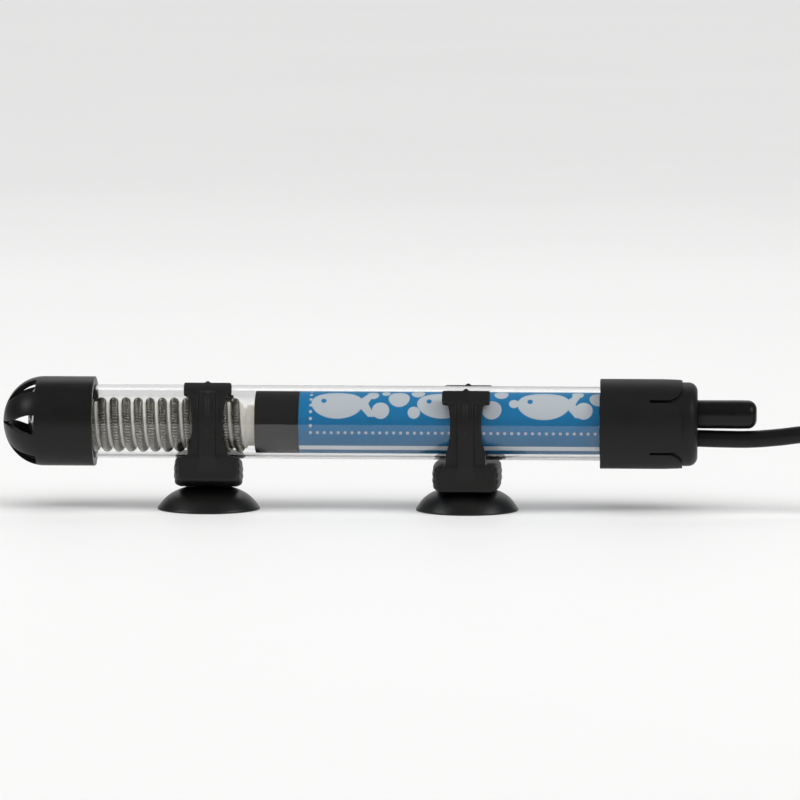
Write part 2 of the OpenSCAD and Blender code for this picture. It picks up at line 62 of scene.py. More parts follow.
camera_data = bpy.data.cameras.new("camera")
camera_data.lens = 293.2
camera = bpy.data.objects.new("camera", camera_data)
camera.location = look_at + camera_distance * Vector((
    math.sin(camera_turn) * math.cos(camera_lift),
    -math.cos(camera_turn) * math.cos(camera_lift),
    math.sin(camera_lift),
))
camera.rotation_euler = (look_at - camera.location).to_track_quat("-Z", "Y").to_euler()
bpy.context.scene.collection.objects.link(camera)
bpy.context.scene.camera = camera
bpy.context.scene.view_settings.view_transform = "Standard"


# ---- Tabletop ----
# A wide white laminate top. Its near edge is a step away from the heater, and the clear glass
# shows that edge as a line along its length.
class Shade:
    """A value, vector or colour in a node tree. Arithmetic on it adds Math nodes."""

    def __init__(self, tree, socket=None):
        self.tree = tree
        self.socket = socket

    def node(self, kind, settings, inputs, output=0):
        """Adds a node: its settings first, then the values or links of its sockets."""
        made = self.tree.nodes.new("ShaderNode" + kind)
        for name, value in settings.items():
            setattr(made, name, value)
        for key, value in inputs.items():
            feed(made.inputs[key], value)
        return Shade(self.tree, made.outputs[output])

    def math(self, operation, *values):
        return self.node("Math", {"operation": operation}, dict(enumerate(values)))

    def __add__(self, other):
        return self.math("ADD", self, other)

    def __sub__(self, other):
        return self.math("SUBTRACT", self, other)

    def __rsub__(self, other):
        return self.math("SUBTRACT", other, self)

    def __mul__(self, other):
        return self.math("MULTIPLY", self, other)

    def __abs__(self):
        return self.math("ABSOLUTE", self)

    __radd__ = __add__
    __rmul__ = __mul__

    def step(self, low, high):
        """0 below low, 1 above high, and smooth between them."""
        return self.node("MapRange", {"interpolation_type": "SMOOTHSTEP"},
                         {"Value": self, "From Min": low, "From Max": high})

    def tint(self, first, second):
        """The first colour where this is 0 and the second where it is 1."""
        return self.node("Mix", {"data_type": "RGBA"}, {0: self, 6: first, 7: second}, 2)


def feed(socket, value):
    """Sets a socket to a value or links it."""
    if isinstance(value, Shade):
        value.tree.links.new(value.socket, socket)
    elif socket.type == "RGBA":
        socket.default_value = (*value, 1)
    else:
        socket.default_value = value


class Finish:
    """A material being made. point is where a spot lies on the piece, in metres."""

    def __init__(self, name):
        self.material = bpy.data.materials.new(name)
        self.material.use_nodes = True
        self.tree = self.material.node_tree
        self.shader = self.tree.nodes["Principled BSDF"]
        self.point = Shade(self.tree).node("TexCoord", {}, {}, "Object")

    def mottle(self, size, detail=2.0, stretch=(1, 1, 1)):
        """Soft noise with features of a size, from 0 to 1."""
        place = self.point.node("VectorMath", {"operation": "MULTIPLY"},
                                {0: self.point, 1: stretch})
        return self.point.node("TexNoise", {},
                               {"Vector": place, "Scale": 1 / size, "Detail": detail})

    def bump(self, height, depth):
        """Relief from a height of 0 to 1, as deep as depth."""
        return self.point.node("Bump", {}, {"Height": height, "Distance": depth}, "Normal")

    def coat(self, **values):
        """Feeds the shader's sockets, an underscore standing for a space in a name."""
        for name, value in values.items():
            feed(self.shader.inputs[name.replace("_", " ")], value)
        return self.material


def mesh_object(name, points, faces, material):
    """A smooth mesh object whose faces all look outwards."""
    mesh = bpy.data.meshes.new(name)
    mesh.from_pydata([tuple(p) for p in points], [], faces)
    work = bmesh.new()
    work.from_mesh(mesh)
    bmesh.ops.delete(work, geom=[v for v in work.verts if not v.link_faces], context="VERTS")
    bmesh.ops.recalc_face_normals(work, faces=work.faces)
    work.to_mesh(mesh)
    work.free()
    mesh.polygons.foreach_set("use_smooth", [True] * len(mesh.polygons))
    mesh.materials.append(material)
    made = bpy.data.objects.new(name, mesh)
    bpy.context.scene.collection.objects.link(made)
    return made


laminate = Finish("white_laminate")
laminate_cloud = laminate.mottle(0.35, 3)
laminate.coat(
    Base_Color=laminate_cloud.tint((0.83, 0.83, 0.825), (0.87, 0.868, 0.865)),
    Roughness=0.5 + 0.1 * laminate.mottle(0.02),
    Normal=laminate.bump(laminate.mottle(0.0012), 0.00002),
    Specular_IOR_Level=0.2,
)
top_near = -0.73
top_far = 6.5
top_half = 4.0
top_thick = 0.03
top_points = [(x, y, z) for z in (-top_thick, 0.0) for y in (top_near, top_far)
              for x in (-top_half, top_half)]
top_faces = [(0, 1, 3, 2), (4, 6, 7, 5), (0, 4, 5, 1), (2, 3, 7, 6), (0, 2, 6, 4), (1, 5, 7, 3)]
tabletop = mesh_object("tabletop", top_points, top_faces, laminate.material)
tabletop.data.polygons.foreach_set("use_smooth", [False] * len(top_faces))


# ---- Light ----
# A broad soft light from above the near side brightens the table evenly and is kept out of
# reflections. They show a dim room, a pale wall low down behind the table, a long lamp behind
# and one soft lamp at each side.
room = bpy.data.worlds.new("room")
bpy.context.scene.world = room
room.use_nodes = True
room_tree = Shade(room.node_tree)
direction = room_tree.node("TexCoord", {}, {}, "Generated")
wall = room_tree.node("VectorMath", {"operation": "DOT_PRODUCT"},
                      {0: direction, 1: (0, 0.97, 0.24)}, "Value")
surroundings = wall.step(0.75, 0.97).tint((0.13, 0.13, 0.13), (0.75, 0.75, 0.75))
seen = room_tree.node("LightPath", {}, {}, "Is Camera Ray")
backdrop = room.node_tree.nodes["Background"]
feed(backdrop.inputs["Color"], seen.tint(surroundings, (0.82, 0.82, 0.82)))
backdrop.inputs["Strength"].default_value = 1.0


def lamp(name, kind, place, power, **shape):
    """A lamp at a place that shines at the heater."""
    data = bpy.data.lights.new(name, kind)
    data.energy = power
    for key, value in shape.items():
        setattr(data, key, value)
    made = bpy.data.objects.new(name, data)
    made.location = place
    made.rotation_euler = (-Vector(place)).to_track_quat("-Z", "Y").to_euler()
    bpy.context.scene.collection.objects.link(made)
    return made


day = lamp("broad_light", "SUN", (0.1, -0.5, 1.0), 2.65, angle=math.radians(80))
day.visible_glossy = False
day.visible_transmission = False
lamp("lamp_behind", "AREA", (-0.1, 0.9, 0.95), 1.5, shape="RECTANGLE", size=1.2, size_y=0.25)
for side in (-1, 1):
    lamp(f"lamp_{'left' if side < 0 else 'right'}", "AREA", (1.1 * side, -0.45, 0.9), 3.5,
         shape="RECTANGLE", size=0.55, size_y=0.45)


# ---- Mains cord ----
# A round two-core cord in smooth black rubber, moulded into the bung. It dips a little as it
# leaves the bung, rises again, and comes down to the table. The rest is folded into a hank.
def to_metres(places):
    return [Vector(p) * mm for p in places]


cord_d = 5.6 * mm
cord_lead = to_metres([
    (84, 0, 23.9), (94, 0, 23.9), (103.5, 0, 23.9), (112, 0, 23.7), (121, 0, 23.7),
    (130, 0, 24.4), (139, 0, 25.4), (147, -0.6, 25.2), (155, -2.6, 22.8), (163, -5.8, 18.6),
    (171, -10, 13.8), (179, -14.4, 9.4), (186, -18, 6.3), (193, -20.8, 4.4),
])
cord_tail = to_metres([(237, -3, 15.2), (243, -2, 16.6), (250, -1, 18.6), (257, 0, 19.7)])

hank_low, hank_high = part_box("cord_hank")
hank_centre = (hank_low + hank_high) / 2
loop_x = 31 * mm                        # from the middle of the hank to a loop's centre
outer_run = (4 * cord_d, 1.5 * cord_d)  # radius of the loop, half gap at the waist
inner_run = (3 * cord_d, 0.5 * cord_d)
layers = [hank_low.z + cord_d / 2, hank_low.z + 1.5 * cord_d, hank_low.z + 2.6 * cord_d]


def lap(run, turn):
    """A spot on a lap round the hank, turn 0 to 1 from the near side of the left loop."""
    loop_r, gap = run
    waist_r = (loop_x ** 2 / (loop_r - gap) - loop_r - gap) / 2
    lean = math.asin(loop_x / (waist_r + loop_r))
    quarter = math.pi / 2
    arcs = [
        (-loop_x, 0, loop_r, -quarter, -quarter + lean),
        (0, -gap - waist_r, waist_r, quarter + lean, quarter - lean),
        (loop_x, 0, loop_r, -quarter - lean, quarter + lean),
        (0, gap + waist_r, waist_r, -quarter + lean, -quarter - lean),
        (-loop_x, 0, loop_r, quarter - lean, 3 * quarter),
    ]
    lengths = [r * abs(b - a) for _, _, r, a, b in arcs]
    left = (turn % 1) * sum(lengths)
    for (x, y, r, start, end), length in zip(arcs, lengths):
        if left <= length:
            angle = start + (end - start) * left / length
            return Vector((x + r * math.cos(angle), y + r * math.sin(angle), 0))
        left -= length
    return lap(run, 0)


# Where the cord changes run or layer: turns since the hank's start, share inwards, height
shifts = [
    (0.0, 0, layers[0]), (0.76, 0, layers[0]), (0.9, 1, layers[0]), (1.72, 1, layers[0]),
    (1.95, 1, layers[1]), (3.0, 1, layers[1]), (3.12, 0, layers[1]), (3.72, 0, layers[1]),
    (3.98, 0, layers[2]), (4.17, 1, layers[2]),
]
hank_steps = 26
hank_turns = 4.17
cord_hank = []
for i in range(int(hank_turns * hank_steps)):
    turn = i / hank_steps
    inwards = np.interp(turn, [s[0] for s in shifts], [s[1] for s in shifts])
    high = np.interp(turn, [s[0] for s in shifts], [s[2] for s in shifts])
    spot = lap(outer_run, turn).lerp(lap(inner_run, turn), inwards)
    cord_hank.append(Vector((hank_centre.x + spot.x, hank_centre.y + spot.y, high)))
cord_line = cord_lead + cord_hank + cord_tail

cord_curve = bpy.data.curves.new("power_cord_run", "CURVE")
cord_curve.dimensions = "3D"
cord_curve.bevel_depth = cord_d / 2
cord_curve.bevel_resolution = 8
cord_curve.resolution_u = 6
cord_curve.use_fill_caps = True
cord_spline = cord_curve.splines.new("BEZIER")
cord_spline.bezier_points.add(len(cord_line) - 1)
for spot, place in zip(cord_spline.bezier_points, cord_line):
    spot.co = place
    spot.handle_left_type = "AUTO"
    spot.handle_right_type = "AUTO"
cord = bpy.data.objects.new("power_cord_run", cord_curve)
bpy.context.scene.collection.objects.link(cord)


def black_moulding(name, tone, rough, grain, depth, dust=0.0, shine=0.24):
    """Carbon-black plastic or rubber: faint clouds, a moulded grain and a little dust."""
    finish = Finish(name)
    cloud = finish.mottle(6 * mm, 4)
    speck = finish.mottle(grain, 3)
    darker = tuple(0.75 * c for c in tone)
    lighter = tuple(1.4 * c + 0.01 * dust for c in tone)
    return finish.coat(
        Base_Color=(0.5 * cloud + 0.5 * speck).tint(darker, lighter),
        Roughness=(rough - 0.09) + 0.12 * cloud + 0.06 * speck,
        Normal=finish.bump(0.3 * finish.mottle(grain * 7, 2) + 0.7 * speck, depth),
        Specular_IOR_Level=shine,
    )


cord.data.materials.append(
    black_moulding("cord_rubber", (0.005, 0.005, 0.005), 0.42, 0.35 * mm, 0.012 * mm)
)
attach(cord, "heater")
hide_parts("power_cord", "cord_hank")


# ---- Plug ----
# A flat two-pin plug moulded onto the cord in black plastic, with grooves across its neck so
# that it bends there. It lies on the hank, and its steel pins have plastic sleeves.
def piece(name, points, faces, material, body, slot):
    """A mesh piece that rides on a body, with the given finish. Its slot is not used."""
    made = mesh_object(name, points, faces, material)
    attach(made, body)
    return made


def lofted(sections, sides):
    """Points and faces of a solid along X: (x, half width, half height, squareness) each."""
    points = []
    for x, wide, high, square in sections:
        for k in range(sides):
            a = 2 * math.pi * k / sides
            c, s = math.cos(a), math.sin(a)
            points.append((x, wide * math.copysign(abs(c) ** (2 / square), c),
                           high * math.copysign(abs(s) ** (2 / square), s)))
    faces = [(i * sides + k, i * sides + (k + 1) % sides,
              (i + 1) * sides + (k + 1) % sides, (i + 1) * sides + k)
             for i in range(len(sections) - 1) for k in range(sides)]
    faces.append(tuple(range(sides)))
    faces.append(tuple(range((len(sections) - 1) * sides, len(sections) * sides)))
    return points, faces


def turned(outline, centre, along="X", sides=96, closed=False):
    """Points and faces of an outline of (place, radius) pairs turned about a line along X or Z.
    An open outline starts and ends on the line."""
    points, rings = [], []
    for place, r in outline:
        count = sides if r > 1e-7 else 1
        rings.append(range(len(points), len(points) + count))
        for k in range(count):
            a = 2 * math.pi * k / sides
            turn = (place, r * math.cos(a), r * math.sin(a))
            if along == "Z":
                turn = (turn[1], turn[2], turn[0])
            points.append(Vector(centre) + Vector(turn))
    pairs = list(zip(rings, rings[1:] + rings[:1] if closed else rings[1:]))
    faces = []
    for first, second in pairs:
        for k in range(sides):
            n = (k + 1) % sides
            corners = [first[k % len(first)], first[n % len(first)],
                       second[n % len(second)], second[k % len(second)]]
            faces.append(tuple(dict.fromkeys(corners)))
    return points, faces


def eased(corners, steps=6):
    """An outline whose corners (place, radius, ease) are rounded by their ease."""
    out = []
    for i, (x, y, ease) in enumerate(corners):
        here = Vector((x, y))
        if not ease:
            out.append((x, y))
            continue
        back = (Vector(corners[i - 1][:2]) - here).normalized()
        ahead = (Vector(corners[(i + 1) % len(corners)][:2]) - here).normalized()
        half = back.angle(ahead) / 2
        middle = here + (back + ahead).normalized() * ease / math.sin(half)
        first = here + back * ease / math.tan(half) - middle
        last = here + ahead * ease / math.tan(half) - middle
        sweep = first.angle(last)
        for k in range(steps + 1):
            t = k / steps
            spot = (math.sin((1 - t) * sweep) * first + math.sin(t * sweep) * last)
            out.append(tuple(middle + spot / math.sin(sweep)))
    return out


plug_low, plug_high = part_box("plug_body")
plug_start = Vector((plug_low.x, 0, (plug_low.z + plug_high.z) / 2))
plug_sections = [(0, 3.4, 3.4, 2), (0.4, 4.0, 4.0, 2), (1.2, 4.4, 4.4, 2)]
for groove in range(4):
    at = 1.8 + 1.7 * groove
    swell = 0.22 * groove
    plug_sections += [(at, 4.4 + swell, 4.4 + swell, 2), (at + 0.3, 3.7 + swell, 3.7 + swell, 2),
                      (at + 0.9, 3.7 + swell, 3.7 + swell, 2),
                      (at + 1.2, 4.5 + swell, 4.5 + swell, 2)]
plug_sections += [(9.5, 6.4, 5.6, 2.2), (12, 10, 6.3, 2.8), (15, 14, 6.7, 3.6),
                  (18, 16.4, 6.8, 4.6), (21, 17, 6.8, 6), (27, 17, 6.8, 8), (32.8, 17, 6.8, 9),
                  (33.6, 16.7, 6.5, 9), (34, 16, 5.8, 9)]
plug_points, plug_faces = lofted([(x * mm, w * mm, h * mm, n) for x, w, h, n in plug_sections], 72)
plug_plastic = black_moulding("plug_plastic", (0.013, 0.013, 0.013), 0.5, 0.4 * mm, 0.02 * mm)
plug = piece("plug_moulding", [plug_start + Vector(p) for p in plug_points], plug_faces,
             plug_plastic, "heater", "plug_plastic")
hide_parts("plug_body")

pin_low, pin_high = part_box("plug_pins")
pin_r = (pin_high.z - pin_low.z) / 2
pin_len = pin_high.x - pin_low.x
nickel = Finish("nickel_plate")
nickel_rub = nickel.mottle(0.4 * mm, 3, (0.08, 1, 1))
nickel.coat(
    Base_Color=nickel_rub.tint((0.52, 0.5, 0.46), (0.66, 0.64, 0.6)),
    Roughness=0.22 + 0.16 * nickel_rub,
    Metallic=1.0,
    Normal=nickel.bump(nickel_rub, 0.004 * mm),
)
pins, sleeves = [], []
for side in (-1, 1):
    pin_root = Vector((pin_low.x, side * (pin_high.y - pin_r), plug_start.z))
    pin_outline = eased([(-2 * mm, 0, 0), (-2 * mm, pin_r - 0.12 * mm, 0),
                         (pin_len, pin_r - 0.12 * mm, 1.4 * mm), (pin_len, 0, 0)], 8)
    sleeve_outline = eased([(-1 * mm, pin_r - 0.5 * mm, 0), (-1 * mm, pin_r, 0),
                            (10 * mm, pin_r, 0.1 * mm), (10 * mm, pin_r - 0.5 * mm, 0)], 3)
    pins.append(piece(f"plug_pin_{'near' if side < 0 else 'far'}",
                      *turned(pin_outline, pin_root, sides=40),
                      nickel.material, "heater", "pin_metal"))
    sleeves.append(piece(f"pin_sleeve_{'near' if side < 0 else 'far'}",
                         *turned(sleeve_outline, pin_root, sides=40, closed=True),
                         plug_plastic, "heater", "plug_plastic"))
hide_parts("plug_pins")


# ---- Hank tie ----
# A soft black rubber band, pulled tight round the waist of the folded cord.
tie_low, tie_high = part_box("hank_tie")
tie_wall = 0.7 * mm
tie_half_w = (tie_high.y - tie_low.y) / 2
tie_half_h = (tie_high.z - tie_low.z) / 2
tie_centre = (tie_low + tie_high) / 2
tie_len = tie_high.x - tie_low.x
tie_sides = 72
tie_points = []
for across, proud in ((-0.5, -1), (-0.5, -0.25), (-0.42, 0), (0.42, 0), (0.5, -0.25), (0.5, -1)):
    for k in range(tie_sides):
        a = 2 * math.pi * k / tie_sides
        c, s = math.cos(a), math.sin(a)
        tie_points.append(tie_centre + Vector((
            across * tie_len,
            (tie_half_w + proud * tie_wall) * math.copysign(abs(c) ** 0.4, c),
            (tie_half_h + proud * tie_wall) * math.copysign(abs(s) ** 0.4, s),
        )))
tie_faces = [(i * tie_sides + k, i * tie_sides + (k + 1) % tie_sides,
              (i + 1) % 6 * tie_sides + (k + 1) % tie_sides, (i + 1) % 6 * tie_sides + k)
             for i in range(6) for k in range(tie_sides)]
tie = piece("hank_band", tie_points, tie_faces,
            black_moulding("band_rubber", (0.016, 0.016, 0.016), 0.6, 0.3 * mm, 0.015 * mm),
            "heater", "cord_rubber")
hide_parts("hank_tie")


# ---- Glass tube ----
# A borosilicate tube with a rounded closed end and a fire-polished mouth. Lamps shine through
# it onto the parts inside.
glass_wall = 1.1 * mm
glass_r = (tube_high.z - tube_low.z) / 2
axis = Vector((0, 0, axis_z))
glass_outline = eased([
    (tube_low.x, 0, 0), (tube_low.x, glass_r, 5 * mm), (tube_high.x, glass_r, 0.5 * mm),
    (tube_high.x, glass_r - glass_wall, 0.5 * mm),
    (tube_low.x + glass_wall, glass_r - glass_wall, 3.9 * mm), (tube_low.x + glass_wall, 0, 0),
], 12)
glass = Finish("tube_glass")
glass.coat(
    Base_Color=(1.0, 1.0, 1.0),
    Roughness=0.006 + 0.012 * glass.mottle(5 * mm, 4),
    Transmission_Weight=1.0,
    IOR=1.47,
    Normal=glass.bump(glass.mottle(9 * mm, 1, (0.12, 1, 1)), 0.006 * mm),
)
glass_out = glass.tree.nodes["Material Output"]
clear = glass.tree.nodes.new("ShaderNodeBsdfTransparent")
clear.inputs["Color"].default_value = (0.96, 0.97, 0.965, 1)
lit = glass.tree.nodes.new("ShaderNodeMixShader")
glass.tree.links.new(glass.point.node("LightPath", {}, {}, "Is Shadow Ray").socket, lit.inputs[0])
glass.tree.links.new(glass.shader.outputs[0], lit.inputs[1])
glass.tree.links.new(clear.outputs[0], lit.inputs[2])
glass.tree.links.new(lit.outputs[0], glass_out.inputs["Surface"])
tube = piece("glass_shell", *turned(glass_outline, axis, sides=160), glass.material,
             "heater", "glass")
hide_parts("glass_tube")


# ---- Ceramic core ----
# An extruded steatite rod with a groove wound round it for the coil. The ridge between two
# turns is ground flat, and the plain end carries the lead wires out.
core_low, core_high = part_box("ceramic_core")
coil_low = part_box("heating_coil")[0]
pitch = 3.95 * mm
coil_turns = 14
groove_r = 5.75 * mm
ridge_r = 7.5 * mm
neck_r = 6.7 * mm
core_z = (core_low.z + core_high.z) / 2
bundle_d = 3.1 * mm
coil_x = coil_low.x + bundle_d / 2


def core_radius(x, angle):
    """Radius of the core: the ridge runs midway between the coil's turns."""
    if x < coil_x - 0.8 * pitch or x > coil_x + (coil_turns + 0.55) * pitch:
        return neck_r
    from_ridge = abs(((x - coil_x) / pitch - angle / (2 * math.pi)) % 1 - 0.5)
    rise = min(max((0.2 - from_ridge) / 0.1, 0), 1)
    return groove_r + (ridge_r - groove_r) * rise * rise * (3 - 2 * rise)


core_rows = 260
core_sides = 84
core_points, core_faces = [], []
for i in range(core_rows):
    x = core_low.x + (core_high.x - core_low.x) * i / (core_rows - 1)
    for k in range(core_sides):
        a = 2 * math.pi * k / core_sides
        r = core_radius(x, a)
        core_points.append((x, r * math.sin(a), core_z - r * math.cos(a)))
for i in range(core_rows - 1):
    for k in range(core_sides):
        n = (k + 1) % core_sides
        core_faces.append((i * core_sides + k, i * core_sides + n,
                           (i + 1) * core_sides + n, (i + 1) * core_sides + k))
core_faces.append(tuple(range(core_sides)))
core_faces.append(tuple(range((core_rows - 1) * core_sides, core_rows * core_sides)))
steatite = Finish("steatite")
steatite_cloud = steatite.mottle(2.5 * mm, 5)
steatite.coat(
    Base_Color=steatite_cloud.tint((0.76, 0.74, 0.67), (0.9, 0.88, 0.82)),
    Roughness=0.5 + 0.2 * steatite_cloud,
    Normal=steatite.bump(steatite.mottle(0.3 * mm, 3), 0.02 * mm),
)
core = piece("wound_core", core_points, core_faces, steatite.material, "heater", "ceramic")
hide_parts("ceramic_core")


# ---- Heating coil ----
# Fine resistance wire, sprung into a long tight spiral and laid in the core's groove. Its
# thousand small turns lie a little unevenly, which makes it glint.
spring_r = 1.2 * mm
wire_r = 0.26 * mm
wire_pitch = 0.82 * mm
lay_r = groove_r + spring_r + wire_r + 0.25 * mm
lay_len = 2 * math.pi * lay_r * coil_turns
spring_turns = int(lay_len / wire_pitch)
turn_steps = 11
wire_sides = 5
rng = np.random.default_rng(7)
count = spring_turns * turn_steps + 1
along = np.linspace(0, 1, count)
unevenness = np.interp(along, np.linspace(0, 1, 260), rng.uniform(-1, 1, 260))
phase = 2 * math.pi * spring_turns * along + 1.1 * unevenness
swell = spring_r * (1 + 0.06 * np.interp(along, np.linspace(0, 1, 400), rng.uniform(-1, 1, 400)))
lay = 2 * math.pi * coil_turns * along
outward = np.stack([0 * lay, np.sin(lay), -np.cos(lay)], 1)
sideways = np.tile([1.0, 0, 0], (count, 1))
middle = lay_r * outward
middle[:, 0] = coil_x + pitch * lay / (2 * math.pi)
middle[:, 2] += core_z
spoke = np.cos(phase)[:, None] * outward + np.sin(phase)[:, None] * sideways
wire_line = middle + swell[:, None] * spoke
heading = np.gradient(wire_line, axis=0)
heading /= np.linalg.norm(heading, axis=1)[:, None]
beside = np.cross(heading, spoke)
wire_points = np.concatenate([
    (wire_line + wire_r * (math.cos(a) * spoke + math.sin(a) * beside))[:, None, :]
    for a in np.linspace(0, 2 * math.pi, wire_sides, endpoint=False)
], 1).reshape(-1, 3)
wire_faces = [(i * wire_sides + k, i * wire_sides + (k + 1) % wire_sides,
               (i + 1) * wire_sides + (k + 1) % wire_sides, (i + 1) * wire_sides + k)
              for i in range(count - 1) for k in range(wire_sides)]
wire_faces.append(tuple(range(wire_sides)))
wire_faces.append(tuple(range((count - 1) * wire_sides, count * wire_sides)))
nichrome = Finish("nichrome")
nichrome_heat = nichrome.mottle(3 * mm, 3)
nichrome.coat(
    Base_Color=nichrome_heat.tint((0.26, 0.25, 0.22), (0.56, 0.54, 0.49)),
    Roughness=0.14 + 0.14 * nichrome_heat,
    Metallic=1.0,
)
coil = piece("sprung_coil", wire_points, wire_faces, nichrome.material, "heater", "coil_wire")
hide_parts("heating_coil")


# ---- Mica discs and wool ----
# Two punched mica discs centre the core, and a pad of mineral wool stops it knocking on the
# closed end of the glass.
def carry(finish, *nodes):
    """Gives carried-over nodes a finish."""
    for name in nodes:
        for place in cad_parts[name].material_slots:
            place.material = finish


mica = Finish("mica")
mica_flake = mica.mottle(1.2 * mm, 4, (6, 1, 1))
carry(mica.coat(
    Base_Color=mica_flake.tint((0.42, 0.35, 0.24), (0.62, 0.55, 0.42)),
    Roughness=0.35 + 0.25 * mica_flake,
    Normal=mica.bump(mica_flake, 0.03 * mm),
), "core_end_discs")

wool_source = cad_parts["wool_pad"]
wool_data = wool_source.data.copy()
wool = bpy.data.objects.new("wool_wad", wool_data)
bpy.context.scene.collection.objects.link(wool)
felt = wool.modifiers.new("felt", "REMESH")
felt.mode = "VOXEL"
felt.voxel_size = 0.45 * mm
bpy.context.view_layer.update()
wool.data = bpy.data.meshes.new_from_object(wool.evaluated_get(
    bpy.context.evaluated_depsgraph_get()))
wool.modifiers.clear()
for vertex in wool.data.vertices:
    tuft = noise.noise(vertex.co / (0.9 * mm)) + 0.5 * noise.noise(vertex.co / (0.35 * mm))
    vertex.co -= vertex.normal * (0.25 + 0.22 * tuft) * mm
wool.data.polygons.foreach_set("use_smooth", [True] * len(wool.data.polygons))
wool_finish = Finish("mineral_wool")
wool_fibre = wool_finish.mottle(0.25 * mm, 5, (1, 3, 1))
wool_finish.coat(
    Base_Color=wool_fibre.tint((0.52, 0.5, 0.44), (0.8, 0.78, 0.72)),
    Roughness=0.95,
    Normal=wool_finish.bump(wool_fibre, 0.15 * mm),
)
wool.data.materials.clear()
wool.data.materials.append(wool_finish.material)
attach(wool, "heater")
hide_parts("wool_pad")


# ---- Heat sleeve ----
# A black glass-cloth sleeve that keeps the coil's heat and glow off the thermostat.
cloth = Finish("black_sleeve")
cloth_weave = cloth.mottle(0.5 * mm, 2, (1, 4, 4))
carry(cloth.coat(
    Base_Color=cloth_weave.tint((0.006, 0.006, 0.006), (0.012, 0.012, 0.012)),
    Roughness=0.6 + 0.2 * cloth_weave,
    Specular_IOR_Level=0.08,
    Normal=cloth.bump(cloth_weave, 0.02 * mm),
), "heat_sleeve")


# ---- Printed sheet ----
# A rolled sheet of blue printed film that hides the thermostat. It carries dotted lines and plain
# pictures of fish and bubbles in pale print, and a still paler band runs low round its front.
sheet_low, sheet_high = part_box("label_sheet")
sheet_r = (sheet_high.z - sheet_low.z) / 2
film = Finish("printed_film")
film_x, film_y, film_z = (film.point.node("SeparateXYZ", {}, {0: film.point}, axis_name)
                          for axis_name in "XYZ")
round_front = film.point.math("ARCTAN2", film_z - axis_z, 0 - film_y) * sheet_r
flat_spot = film.point.node("CombineXYZ", {}, {0: film_x, 1: round_front})
print_edge = 0.12 * mm


def distance(centre, stretch=(1, 1, 1)):
    """How far a spot on the film is from a centre, along the film and round it."""
    moved = film.point.node("VectorMath", {"operation": "SUBTRACT"},
                            {0: flat_spot, 1: (*centre, 0)})
    scaled = film.point.node("VectorMath", {"operation": "MULTIPLY"}, {0: moved, 1: stretch})
    return film.point.node("VectorMath", {"operation": "LENGTH"}, {0: scaled}, "Value")


def disc(centre, r):
    return 1 - distance(centre).step(r - print_edge, r + print_edge)


def either(first, second):
    return first.math("MAXIMUM", first, second)


def fish(centre, size):
    """A fish facing -X: an oval body with a forked tail, and a hole for its eye."""
    body = 1 - distance(centre, (0.62, 1, 1)).step(size - print_edge, size + print_edge)
    tail_x = film_x - (centre[0] + 1.15 * size)
    tail_y = abs(round_front - centre[1])
    tail = (tail_x - 0.9 * tail_y).step(-print_edge, print_edge)
    tail = tail * (1 - (tail_x - 0.5 * tail_y).step(0.75 * size, 0.75 * size + 2 * print_edge))
    tail = tail * (1 - tail_y.step(0.85 * size, 0.85 * size + 2 * print_edge))
    eye = disc((centre[0] - 0.85 * size, centre[1] + 0.2 * size), 0.17 * size)
    return either(body, tail) * (1 - eye)


picture_up = 7.4 * mm
pictures = fish((sheet_low.x + 12.5 * mm, picture_up), 5.2 * mm)
for x, up, r in ((24.0, 11.2, 1.9), (26.6, 5.0, 2.8), (28.2, 12.4, 1.4), (32.5, 9.6, 3.4),
                 (37.4, 4.3, 2.0), (38.6, 12.4, 2.2), (57.5, 11.4, 2.2), (62.6, 5.4, 3.2),
                 (65.6, 12.0, 2.3), (69.8, 7.6, 1.6), (90.4, 12.0, 1.9), (92.4, 5.2, 2.9),
                 (97.2, 9.8, 3.0)):
    pictures = either(pictures, disc((sheet_low.x + x * mm, up * mm), r * mm))
for x, size in ((46.5, 5.0), (79.5, 5.3)):
    pictures = either(pictures, fish((sheet_low.x + x * mm, picture_up), size * mm))

dot_pitch = 2.25 * mm
dot_r = 0.5 * mm
line_up = -2.3 * mm
line_x = sheet_low.x + 3.9 * mm


def dot_row(run, offset):
    """Dots a pitch apart along run, on the line where offset is 0."""
    beat = abs(film.point.math("FLOORED_MODULO", run + dot_pitch / 2, dot_pitch) - dot_pitch / 2)
    near = film.point.math("SQRT", beat * beat + offset * offset)
    return 1 - near.step(dot_r - print_edge, dot_r + print_edge)


across_line = dot_row(film_x - line_x, round_front - line_up)
across_line = across_line * (film_x - line_x).step(-1.5 * dot_r, -dot_r)
up_line = dot_row(round_front - line_up, film_x - line_x)
up_line = up_line * (round_front - line_up).step(-1.5 * dot_r, -dot_r)
# A still paler band, low round the front of the sheet.
band = 1 - abs(round_front + 8.2 * mm).step(1.0 * mm, 1.1 * mm)
pale_marks = either(either(pictures, either(across_line, up_line)), band)
ink_cloud = film.mottle(1.5 * mm, 4)
ink = (0.4 * ink_cloud + 0.6 * film.mottle(20 * mm, 1)).tint(
    (0.008, 0.16, 0.36), (0.012, 0.19, 0.41))
carry(film.coat(
    Base_Color=pale_marks.tint(ink, band.tint((0.5, 0.54, 0.58), (0.85, 0.88, 0.92))),
    Roughness=0.4 + 0.12 * ink_cloud,
    Specular_IOR_Level=0.08,
    Normal=film.bump(pale_marks, 0.008 * mm),
), "label_sheet")


# ---- Thermostat ----
# A resin-bonded board carries a bimetal strip and a sprung arm between insulating blocks. Silver
# contacts, a small magnet and the adjusting nut and screw complete it.
def metal(name, dark, light, rough, brush=(0.1, 1, 1)):
    """A drawn or rolled metal, brushed along X."""
    finish = Finish(name)
    streak = finish.mottle(0.25 * mm, 3, brush)
    return finish.coat(
        Base_Color=streak.tint(dark, light),
        Roughness=rough + 0.15 * streak,
        Metallic=1.0,
        Normal=finish.bump(streak, 0.004 * mm),
    )


